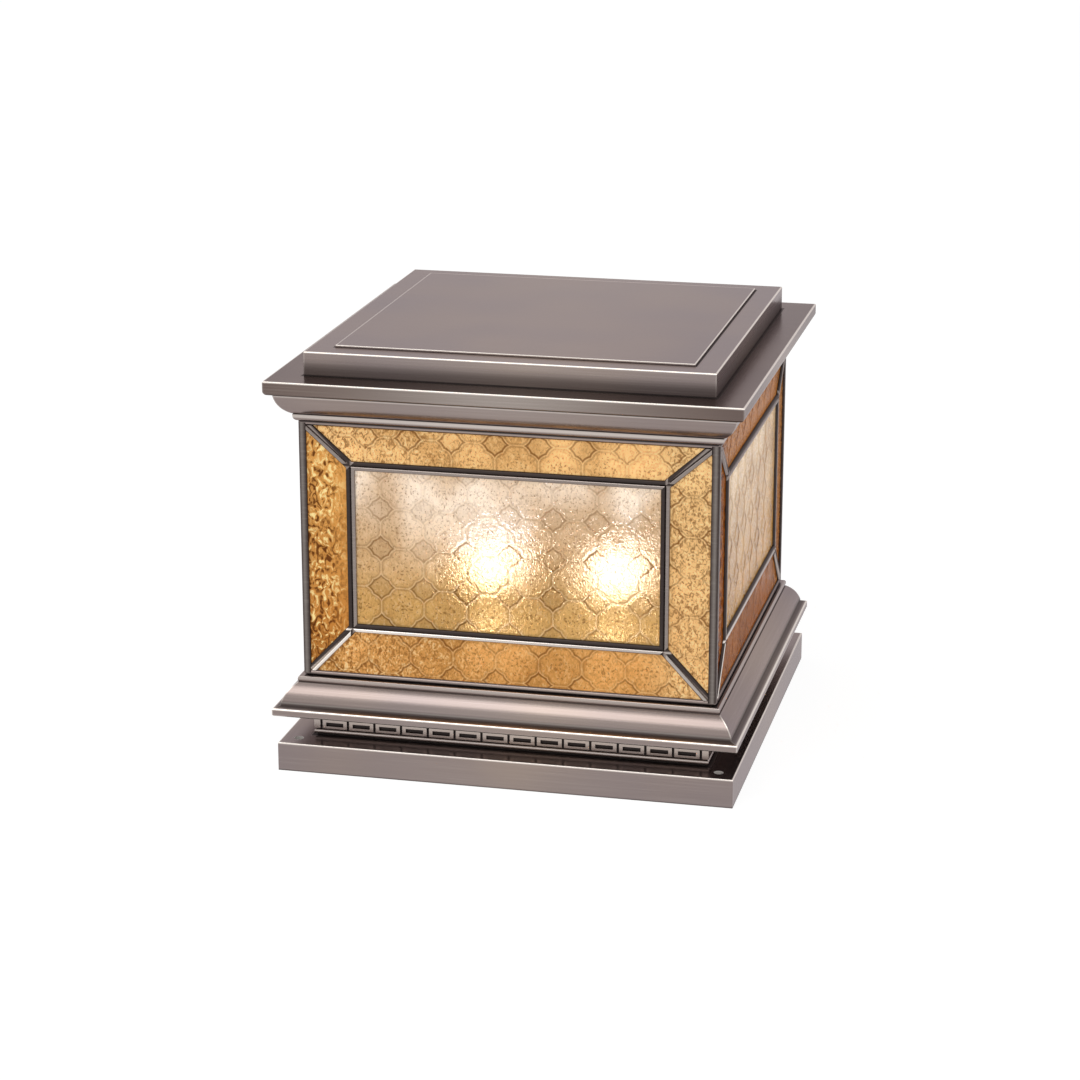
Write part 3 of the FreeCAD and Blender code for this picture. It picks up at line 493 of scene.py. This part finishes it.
def trellisDistance(x, z):  # the same cells as makeTrellisCells draws
    half = glassPattern["pitch"] / 2
    across = half - abs((x - glassPattern["startAlong"]) % (2 * half) - half)
    up = half - abs((z - glassPattern["startHeight"]) * glassPattern["squat"] % (2 * half) - half)
    far, near = max(across, up), min(across, up)
    edge = math.hypot(far - glassPattern["lobe"], near) - glassPattern["radius"]
    return edge if edge > 0 else min(-edge, half - far)


pressedFace = {"depth": 0.5, "ridge": 0.75, "pillow": 0.3, "pillowReach": 4.0, "stipple": 0.16,
               "stippleScale": 0.5}


def pressedRelief(x, z):  # how far the face is pressed in, in millimetres: none on the ridges
    away = trellisDistance(x, z)
    ridge = math.exp(-(away / pressedFace["ridge"]) ** 2)
    pillow = pressedFace["pillow"] * (1 - math.exp(-away / pressedFace["pillowReach"]))
    scale = pressedFace["stippleScale"]
    stipple = pressedFace["stipple"] * noise.noise(Vector((x * scale, z * scale, 0)))
    return max(0.0, pressedFace["depth"] * (1 - ridge) - pillow + stipple)


def borderRelief(x, z):
    left, down = glassPattern["borderShift"]
    return pressedRelief(x + left, z + down)


hammeredFace = {"mean": 0.4, "ripple": 0.55, "deepest": 0.9, "coarse": (0.3, 0.2, 7.0), "fine": (0.6, 0.4, 3.0),
                "fineShare": 0.5}


def hammeredRelief(x, z):
    coarse, fine = [noise.noise(Vector((x * wide, z * tall, layer)))
                    for wide, tall, layer in (hammeredFace["coarse"], hammeredFace["fine"])]
    ripple = coarse + hammeredFace["fineShare"] * fine
    return min(hammeredFace["deepest"], max(0.0, hammeredFace["mean"] - hammeredFace["ripple"] * ripple))


def choose(piece):
    bpy.ops.object.select_all(action="DESELECT")
    piece.select_set(True)
    bpy.context.view_layer.objects.active = piece


paneGrid = {"centre": 0.9, "border": 1.1, "smooth": 50}  # millimetres between the grid's lines, and degrees


# A pane of the front side: a fine grid cut to the pane's outline, pressed, then closed to its thickness.
def cutPane(name, node, step, relief, cuts):
    low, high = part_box(node)
    wide, tall = high.x - low.x, high.z - low.z
    bpy.ops.object.select_all(action="DESELECT")
    bpy.ops.mesh.primitive_grid_add(x_subdivisions=round(wide / mm / step), y_subdivisions=round(tall / mm / step),
                                    size=1, location=(0, 0, 0))
    pane = bpy.context.active_object
    pane.name = name
    middle = (low + high) / 2
    for vertex in pane.data.vertices:
        vertex.co = (middle.x + vertex.co.x * wide, low.y, middle.z + vertex.co.y * tall)
    bpy.ops.object.mode_set(mode="EDIT")
    for point, outward in cuts:
        bpy.ops.mesh.select_all(action="SELECT")
        bpy.ops.mesh.bisect(plane_co=point, plane_no=outward, clear_outer=True)
    bpy.ops.object.mode_set(mode="OBJECT")
    for vertex in pane.data.vertices:
        vertex.co.y += relief(vertex.co.x / mm, vertex.co.z / mm) * mm
    bpy.ops.object.mode_set(mode="EDIT")
    bpy.ops.mesh.select_mode(type="EDGE")
    bpy.ops.mesh.select_all(action="DESELECT")
    bpy.ops.mesh.select_non_manifold()
    bpy.ops.mesh.extrude_edges_move(TRANSFORM_OT_translate={"value": (0, mm, 0)})
    bpy.ops.transform.resize(value=(1, 0, 1), center_override=(0, high.y, 0))  # flat, at the pane's back
    bpy.ops.mesh.edge_face_add()
    bpy.ops.mesh.select_all(action="SELECT")
    bpy.ops.mesh.normals_make_consistent(inside=False)
    bpy.ops.object.mode_set(mode="OBJECT")
    choose(pane)
    bpy.ops.object.shade_smooth_by_angle(angle=math.radians(paneGrid["smooth"]))
    return pane


# The two slanting cuts that part a border pane from its neighbours, along the strips to the corners.
def mitreCuts(place):
    if place == "centre":
        return []
    half, outerHalf = stripLines["half"], stripLines["outerHalf"]
    ends = {-1: (stripLines["low"], stripLines["outerLow"]), 1: (stripLines["high"], stripLines["outerHigh"])}
    cuts = []
    for flip in (-1, 1):
        for way, (base, tip) in ends.items():
            start = Vector((flip * half, 0, base))
            along = Vector((flip * (outerHalf - half), 0, tip - base)).normalized()
            up = Vector((0, 0, way))
            normal = up - along * up.dot(along)
            normal.normalize()
            if place == ("top" if way > 0 else "bottom"):
                outward = -normal
            elif place == ("left" if flip < 0 else "right"):
                outward = normal
            else:
                continue
            cuts.append(((start - outward * stripLines["gap"]) * mm, outward))
    return cuts


glassShading = {  # where along the side, in millimetres, or between which values of the noise each effect runs
    "clouds": (0.4, 0.62),
    "pale": (80.0, 120.0), "paleShare": 0.45,  # the right end of the amber border is paler
    "calm": (-30.0, 125.0),  # the swirls grow towards the left end
    "rightSwirls": (96.0, 108.0), "rightShare": 0.9,
    "fadeLeast": 0.2,
    "swirlDark": (0.36, 0.5), "swirlLight": (0.53, 0.68),
    "besideRidge": 1.0, "lineWidth": (0.1, 1.15), "crestWidth": (0.0, 0.55),  # the lines run beside the ridges
    "cellLine": 0.45, "diamondLine": 0.55, "lineDrift": (0.35, 0.6, 0.55, 1.0),
    "stipple": (0.56, 0.72), "stippleRough": 0.05, "swirlRelief": 1.5, "reliefDepth": 0.0006,
    "ior": 1.45,
}


def glassMaterial(name, look):
    shading = glassShading
    material, tree, shader, position = newMaterial(name)
    space = useGroup(tree, groups["space"], {"Position": position, "Plate": aboveAll})
    along = maths(tree, "MULTIPLY", space["Along"], space["Turn"])
    left, down = look["shift"]
    cells = useGroup(tree, groups["trellis"], {"Along": maths(tree, "ADD", along, left),
                                               "Height": maths(tree, "ADD", space["Height"], down)})
    grain = useGroup(tree, groups["grain"], {"Along": along, "Height": space["Height"],
                                             "Flank": space["Flank"], "Swirl Scale": look["swirlScale"]})
    # painted reflection: each pane pales from its bottom colour up to its top colour
    rise = ramp(tree, space["Height"], look["low"], look["high"])
    colour = blend(tree, rise, look["bottom"], look["top"])
    cloud = ramp(tree, grain["Cloud"], *shading["clouds"], 0.0, look["clouds"])
    colour = blend(tree, cloud, colour, look["cloud"])
    end = ramp(tree, maths(tree, "MULTIPLY", along, -1.0), *shading["calm"], look["calm"], 1.0)
    if "paleEnd" in look:
        colour = blend(tree, ramp(tree, along, *shading["pale"], 0.0, shading["paleShare"]), colour,
                       look["paleEnd"])
        end = maths(tree, "MAXIMUM", end, ramp(tree, along, *shading["rightSwirls"], 0.0, shading["rightShare"]))
    if "fade" in look:  # calmer towards the strip
        near = ramp(tree, maths(tree, "ABSOLUTE", along), *look["fade"], shading["fadeLeast"], 1.0)
        end = maths(tree, "MULTIPLY", end, near)
    strength = maths(tree, "MULTIPLY", end, look["swirls"])
    shade = maths(tree, "MULTIPLY", ramp(tree, grain["Swirl"], *shading["swirlDark"], 1.0, 0.0), strength)
    pale = maths(tree, "MULTIPLY", ramp(tree, grain["Swirl"], *shading["swirlLight"]), strength)
    colour = blend(tree, shade, colour, look["dark"])
    colour = blend(tree, pale, colour, look["crest"])

    # The pattern: dark lines beside the ridges as painted shade, stipple, seeds and darker diamonds, and light crests
    #  on the ridges as painted highlights.
    fade = maths(tree, "SUBTRACT", 1.0, maths(tree, "MULTIPLY", rise, look["riseFade"]))
    beside = maths(tree, "ABSOLUTE", maths(tree, "SUBTRACT", cells["Ridge"], shading["besideRidge"]))
    heavy = maths(tree, "ADD", shading["cellLine"], maths(tree, "MULTIPLY", cells["Diamond"],
                                                          shading["diamondLine"]))
    heavy = maths(tree, "MULTIPLY", heavy, ramp(tree, grain["Cloud"], *shading["lineDrift"]))
    heavy = maths(tree, "MULTIPLY", heavy, fade)
    line = maths(tree, "MULTIPLY", ramp(tree, beside, *shading["lineWidth"], look["lines"], 0.0), heavy)
    fine = ramp(tree, grain["Stipple"], *shading["stipple"], 0.0, look["stipple"])
    seeds = maths(tree, "MULTIPLY", maths(tree, "MULTIPLY", cells["Seeds"], look["seeds"]), fade)
    diamond = maths(tree, "MULTIPLY", maths(tree, "MULTIPLY", cells["Diamond"], look["diamonds"]), fade)
    dark = maths(tree, "MAXIMUM", maths(tree, "MAXIMUM", line, fine), maths(tree, "MAXIMUM", seeds, diamond))
    colour = blend(tree, dark, colour, look["dark"])
    crest = ramp(tree, cells["Ridge"], *shading["crestWidth"], look["crests"], 0.0)
    colour = blend(tree, maths(tree, "MULTIPLY", crest, fade), colour, look["crest"])

    turned = blend(tree, space["Flank"], white, look["flank"])  # painted shade: the left and right sides glow less
    lit = vectors(tree, "MULTIPLY", colour, turned)
    rough = maths(tree, "ADD", look["rough"], maths(tree, "MULTIPLY", grain["Stipple"], shading["stippleRough"]))
    relief = maths(tree, "ADD", grain["Stipple"], maths(tree, "MULTIPLY", grain["Swirl"], shading["swirlRelief"]))
    # the panes glow with painted light: their colour given out, standing in for the bulbs' light scattered in the
    # glass
    feed(tree, shader, {
        "Base Color": lit, "Emission Color": lit, "Emission Strength": look["paintedGlow"], "Roughness": rough,
        "Normal": bumped(tree, relief, look["bump"], shading["reliefDepth"]),
        "Transmission Weight": look["clear"], "IOR": shading["ior"],
        "Specular IOR Level": look["gloss"], "Specular Tint": look["glance"]})
    return material


glassLooks = {
    "champagne": {"top": (0.92, 0.82, 0.70, 1), "bottom": (0.64, 0.40, 0.14, 1), "low": 112, "high": 196,
                  "cloud": (0.48, 0.28, 0.09, 1), "clouds": 0.6, "dark": (0.20, 0.095, 0.025, 1), "lines": 1.0,
                  "stipple": 0.8, "seeds": 0.75, "diamonds": 0.2, "crest": (0.92, 0.76, 0.52, 1), "crests": 0.3,
                  "swirls": 0.22, "swirlScale": 0.4, "calm": 0.8, "riseFade": 0.5, "rough": 0.015, "bump": 0.5,
                  "paintedGlow": 0.36, "clear": 0.35, "flank": (0.80, 0.70, 0.54, 1),
                  "glance": (0.8, 0.66, 0.46, 1), "gloss": 0.05, "shift": (0.0, 0.0)},
    "amber": {"top": (0.98, 0.62, 0.26, 1), "bottom": (0.76, 0.39, 0.12, 1), "low": 80, "high": 220,
              "cloud": (0.42, 0.19, 0.045, 1), "clouds": 0.5, "dark": (0.20, 0.07, 0.015, 1), "lines": 0.85,
              "stipple": 0.65, "seeds": 0.55, "diamonds": 0.06, "crest": (0.98, 0.74, 0.38, 1), "crests": 0.2,
              "swirls": 0.75, "swirlScale": 0.42, "calm": 0.35, "riseFade": 0.0, "rough": 0.08, "bump": 0.45,
              "paintedGlow": 0.37, "clear": 0.1, "flank": (0.48, 0.29, 0.16, 1), "glance": (0.5, 0.28, 0.12, 1),
              "paleEnd": (0.92, 0.66, 0.32, 1), "shift": glassPattern["borderShift"], "gloss": 0.01},
    "hammered": {"top": (0.69, 0.34, 0.09, 1), "bottom": (0.55, 0.22, 0.045, 1), "low": 70, "high": 190,
                 "cloud": (0.42, 0.17, 0.035, 1), "clouds": 0.5, "dark": (0.12, 0.035, 0.008, 1), "lines": 0.0,
                 "stipple": 0.45, "seeds": 0.0, "diamonds": 0.0, "crest": (1.0, 0.80, 0.36, 1), "crests": 0.0,
                 "swirls": 0.95, "swirlScale": 0.24, "calm": 0.5, "fade": (104, 118), "riseFade": 0.0,
                 "rough": 0.1, "bump": 0.6, "paintedGlow": 0.36, "clear": 0.1, "flank": (0.48, 0.29, 0.16, 1),
                 "glance": (0.5, 0.28, 0.12, 1), "gloss": 0.02, "shift": (0.0, 0.0)},
}
glassMaterials = {kind: glassMaterial(kind + "Glass", look) for kind, look in glassLooks.items()}
paneFaces = {
    "centre": ("champagne", pressedRelief), "top": ("amber", borderRelief), "bottom": ("amber", borderRelief),
    "left": ("hammered", hammeredRelief), "right": ("amber", borderRelief),
}
for place, (glass, relief) in paneFaces.items():
    size, slot = ("centre", "champagne_glass") if place == "centre" else ("border", "amber_glass")
    title = place.capitalize()
    first = cutPane("pressedPaneFront" + title, "pane_front_" + place, paneGrid[size], relief, mitreCuts(place))
    first.data.materials.append(glassMaterials[glass])
    for quarter, side in enumerate(sideNames):
        pane = first
        if quarter:
            pane = first.copy()
            pane.data = first.data.copy()
            pane.name = "pressedPane" + side.capitalize() + title
            bpy.context.scene.collection.objects.link(pane)
            pane.data.transform(Matrix.Rotation(math.radians(90 * quarter), 4, "Z"))
        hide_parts("pane_%s_%s" % (side, place))
        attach(pane, "lantern")
print("glass pressed")


def closePiece(piece, material, body, angle=35):  # from edit mode: merged, turned outwards, finished
    bpy.ops.mesh.select_all(action="SELECT")
    bpy.ops.mesh.remove_doubles(threshold=0.00001)
    bpy.ops.mesh.normals_make_consistent(inside=False)
    bpy.ops.object.mode_set(mode="OBJECT")
    choose(piece)
    bpy.ops.object.shade_smooth_by_angle(angle=math.radians(angle))
    piece.data.materials.append(bpy.data.materials[material])
    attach(piece, body)


# The lampholders' moulded rim and grip ribs, and the bulbs' screw threads, in millimetres. A section is given as
# points out from the lamp's axis and up.
lampOffset = 43.5  # from the middle of the lantern to each lamp's axis
holderRim = {"section": [(19.8, 52.0), (20.9, 52.4), (21.1, 53.2), (20.9, 54.0), (19.8, 54.4)], "steps": 48}
holderRibs = {"count": 24, "size": (1.4, 1.6, 22.0), "out": 20.0, "middle": 39.0, "soften": 0.4}
bulbThread = {"radius": 13.15, "bead": 0.5, "pitch": 3.629, "start": 37.0, "turns": 4, "steps": 40, "smooth": 60}


def makeHolderRim(title, axis):  # a closed section spun round the lamp's axis
    bpy.ops.object.select_all(action="DESELECT")
    bpy.ops.mesh.primitive_circle_add(vertices=len(holderRim["section"]), radius=1.0, location=(0, 0, 0))
    rim = bpy.context.active_object
    rim.name = "holderRim" + title
    for vertex, (out, up) in zip(rim.data.vertices, holderRim["section"]):
        vertex.co = (axis + out * mm, 0.0, up * mm)
    bpy.ops.object.mode_set(mode="EDIT")
    bpy.ops.mesh.select_all(action="SELECT")
    bpy.ops.mesh.spin(steps=holderRim["steps"], angle=2 * math.pi, center=(axis, 0, 0), axis=(0, 0, 1))
    closePiece(rim, "holderPlastic", "lantern")


def makeHolderRibs(title, axis):  # one softened rib, copied round the lamp's axis
    bpy.ops.object.select_all(action="DESELECT")
    bpy.ops.mesh.primitive_cube_add(size=1, location=(0, 0, 0))
    ribs = bpy.context.active_object
    ribs.name = "holderRibs" + title
    wide, deep, tall = holderRibs["size"]
    for vertex in ribs.data.vertices:
        vertex.co = (axis + (holderRibs["out"] + vertex.co.x * deep) * mm, vertex.co.y * wide * mm,
                     (holderRibs["middle"] + vertex.co.z * tall) * mm)
    bpy.ops.object.mode_set(mode="EDIT")
    bpy.ops.mesh.select_all(action="SELECT")
    bpy.ops.mesh.bevel(offset=holderRibs["soften"] * mm, segments=2)
    bpy.ops.mesh.select_all(action="SELECT")
    bpy.ops.mesh.spin(steps=holderRibs["count"], angle=2 * math.pi, dupli=True, center=(axis, 0, 0),
                      axis=(0, 0, 1))
    closePiece(ribs, "holderPlastic", "lantern")


def makeBulbThread(title, axis, body):  # a round bead wound up the bulb's base, its two ends closed
    bpy.ops.object.select_all(action="DESELECT")
    bpy.ops.mesh.primitive_circle_add(vertices=8, radius=bulbThread["bead"] * mm, location=(0, 0, 0))
    thread = bpy.context.active_object
    thread.name = "bulbThread" + title
    for vertex in thread.data.vertices:
        vertex.co = (bulbThread["radius"] * mm + vertex.co.x, 0, vertex.co.y)
    winding = thread.modifiers.new("winding", "SCREW")
    winding.angle, winding.screw_offset = 2 * math.pi, bulbThread["pitch"] * mm
    winding.iterations = bulbThread["turns"]
    winding.steps = winding.render_steps = bulbThread["steps"]
    bpy.ops.object.modifier_apply(modifier="winding")
    for vertex in thread.data.vertices:
        vertex.co += Vector((axis, 0, bulbThread["start"] * mm))
    bpy.ops.object.mode_set(mode="EDIT")
    bpy.ops.mesh.select_mode(type="EDGE")
    bpy.ops.mesh.select_all(action="DESELECT")
    bpy.ops.mesh.select_non_manifold()
    bpy.ops.mesh.edge_face_add()
    closePiece(thread, "capMetal", body, bulbThread["smooth"])


for side, sign in lampSides.items():
    axis = sign * lampOffset * mm
    makeHolderRim(side.capitalize(), axis)
    makeHolderRibs(side.capitalize(), axis)
    makeBulbThread(side.capitalize(), axis, "bulb_" + side)
print("lamp fittings made")


blockScrews = {"places": (-10.0, 0.0, 10.0), "depth": 75.0, "radius": 2.3, "foot": 26.6, "tall": 3.0,
               "slot": (8.0, 0.7, 1.0), "soften": 0.25}  # the slot's length, width and depth


def makeBlockScrew(name, across):  # a slotted screw of the terminal block
    tall, (slotLong, slotWide, slotDeep) = blockScrews["tall"], blockScrews["slot"]
    middle = (across * mm, blockScrews["depth"] * mm, (blockScrews["foot"] + tall / 2) * mm)
    bpy.ops.object.select_all(action="DESELECT")
    bpy.ops.mesh.primitive_cylinder_add(vertices=24, radius=blockScrews["radius"] * mm, depth=tall * mm,
                                        location=middle)
    screw = bpy.context.active_object
    screw.name = name
    bpy.ops.object.transform_apply()
    bpy.ops.mesh.primitive_cube_add(size=1, location=(middle[0], middle[1], middle[2] + tall / 2 * mm))
    cutter = bpy.context.active_object
    cutter.scale = (slotLong * mm, slotWide * mm, 2 * slotDeep * mm)
    bpy.ops.object.transform_apply()
    choose(screw)
    slotCut = screw.modifiers.new("slotCut", "BOOLEAN")
    slotCut.operation, slotCut.object = "DIFFERENCE", cutter
    bpy.ops.object.modifier_apply(modifier="slotCut")
    bpy.data.objects.remove(cutter)
    soften = screw.modifiers.new("soften", "BEVEL")
    soften.width, soften.segments, soften.limit_method = blockScrews["soften"] * mm, 2, "ANGLE"
    bpy.ops.object.modifier_apply(modifier="soften")
    bpy.ops.object.mode_set(mode="EDIT")
    closePiece(screw, "screwSteel", "lantern")


for number, across in enumerate(blockScrews["places"]):
    makeBlockScrew("blockScrew%d" % (number + 1), across)
print("terminal screws made")


# The studio: a white floor and surround, one large soft lamp high in front and a fill from the left.
studio = {"floorSize": 16.0, "ambient": 0.45, "floorGlow": 0.9, "floorWhite": 0.9, "floorMatt": 0.25,
          "lampAim": (0, 0, 0.14)}
lamps = {
    "keyLamp": {"place": (-0.35, -1.15, 1.75), "size": (1.3, 0.9), "power": 8.0},
    "fillLamp": {"place": (-1.6, -0.9, 0.9), "size": (0.9, 1.2), "power": 3.0},
}
photoCamera = {"place": (0.43195, -1.89896, 0.70907), "aim": (-0.0096, 0.0, 0.1223), "lens": 100.1,
               "sensor": 36.0}


def seenDirectly(tree):  # camera, mirrored and transmitted rays see the white surround itself
    path = addNode(tree, "LightPath").outputs
    seen = maths(tree, "MAXIMUM", path["Is Camera Ray"], path["Is Glossy Ray"])
    return maths(tree, "MAXIMUM", seen, path["Is Transmission Ray"])


def makeFloor():
    bpy.ops.object.select_all(action="DESELECT")
    bpy.ops.mesh.primitive_plane_add(size=studio["floorSize"], location=(0, 0, 0))
    floor = bpy.context.active_object
    floor.name = "studioFloor"
    material = bpy.data.materials.new("whiteFloor")
    material.use_nodes = True
    tree = material.node_tree
    tree.nodes.clear()
    seen = seenDirectly(tree)
    bright, plain = [(studio[tone],) * 3 + (1,) for tone in ("floorWhite", "floorMatt")]
    matt = addNode(tree, "BsdfDiffuse", {"Color": blend(tree, seen, bright, plain)}).outputs[0]
    strength = maths(tree, "MULTIPLY", seen, studio["floorGlow"])
    glow = addNode(tree, "Emission", {"Color": white, "Strength": strength}).outputs[0]
    addNode(tree, "OutputMaterial", {0: addNode(tree, "AddShader", {0: matt, 1: glow}).outputs[0]})
    floor.data.materials.append(material)


def makeWorld():
    world = bpy.data.worlds.new("studioWhite")
    world.use_nodes = True
    tree = world.node_tree
    tree.nodes.clear()
    lit = addNode(tree, "Background", {"Color": white, "Strength": studio["ambient"]}).outputs[0]
    plain = addNode(tree, "Background", {"Color": white, "Strength": 1.0}).outputs[0]
    mixed = addNode(tree, "MixShader", {0: seenDirectly(tree), 1: lit, 2: plain}).outputs[0]
    addNode(tree, "OutputWorld", {0: mixed})
    bpy.context.scene.world = world


def aimed(thing, place, aim):  # stands a lamp or camera at its place, looking at its aim
    thing.location = place
    thing.rotation_euler = (Vector(aim) - Vector(place)).to_track_quat("-Z", "Y").to_euler()
    bpy.context.scene.collection.objects.link(thing)


def makeLamp(name, look):
    data = bpy.data.lights.new(name, "AREA")
    data.shape = "RECTANGLE"
    data.size, data.size_y = look["size"]
    data.energy = look["power"]
    aimed(bpy.data.objects.new(name, data), look["place"], studio["lampAim"])


def makeCamera():
    data = bpy.data.cameras.new("photoCamera")
    data.lens = photoCamera["lens"]
    data.sensor_width = photoCamera["sensor"]
    camera = bpy.data.objects.new("photoCamera", data)
    aimed(camera, photoCamera["place"], photoCamera["aim"])
    bpy.context.scene.camera = camera


makeFloor()
makeWorld()
for name, look in lamps.items():
    makeLamp(name, look)
makeCamera()
bpy.context.scene.view_settings.view_transform = "Standard"
print("studio ready")
